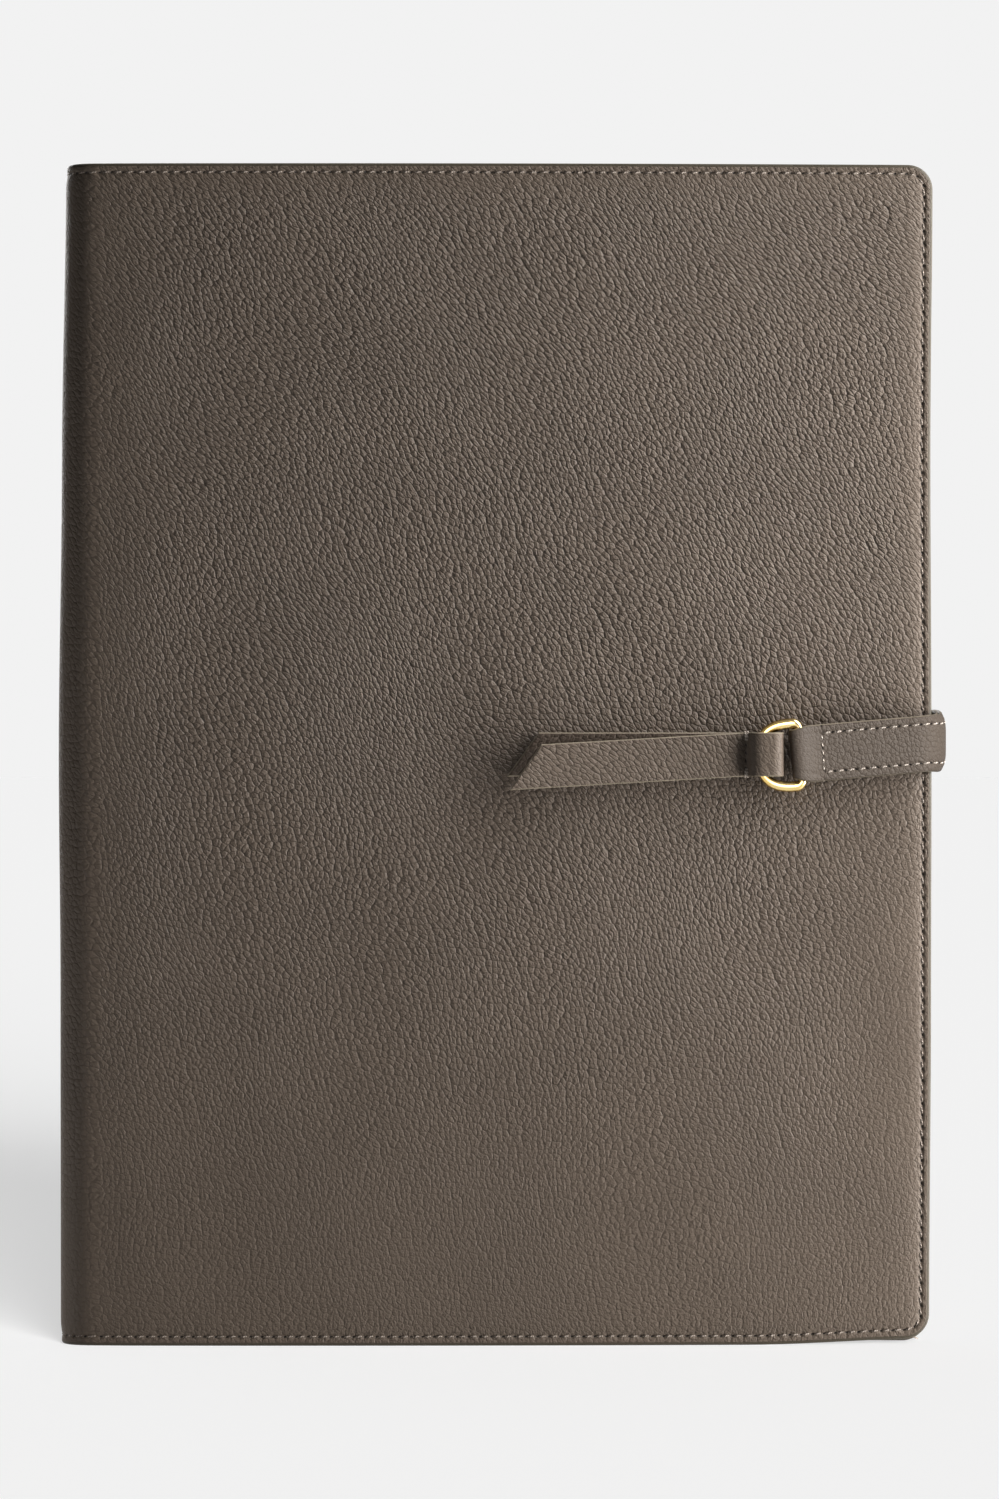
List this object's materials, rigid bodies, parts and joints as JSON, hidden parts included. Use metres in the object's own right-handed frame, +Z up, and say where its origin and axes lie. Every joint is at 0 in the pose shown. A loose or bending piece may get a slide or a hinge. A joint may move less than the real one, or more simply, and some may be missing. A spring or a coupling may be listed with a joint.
{
  "type": "notebook holder",
  "caption": "Folded leather notebook holder that stands closed, with a strap round the fore-edge, a D-ring and a folded pull tab.",
  "frame": {"origin": "middle of the footprint, on the surface that the lower edges stand on", "axes": "+Z up along the spine, +X from the spine to the fore-edge, the front cover faces -Y"},
  "size_m": [0.252, 0.0272, 0.334],
  "materials": {
    "cover_leather": "pebbled, satin, taupe",
    "strap_leather": "pebbled, satin, taupe",
    "tab_leather": "pebbled, satin, taupe",
    "ring_gold": "polished gold plate",
    "snap_steel": "satin",
    "stitch_thread": "waxed thread, pale taupe"
  },
  "bodies": {
    "root": {"cover": "cover_leather", "closure_strap": "strap_leather", "d_ring": "ring_gold", "pull_tab": "tab_leather", "snap_disc": "snap_steel"}
  },
  "joints": []
}
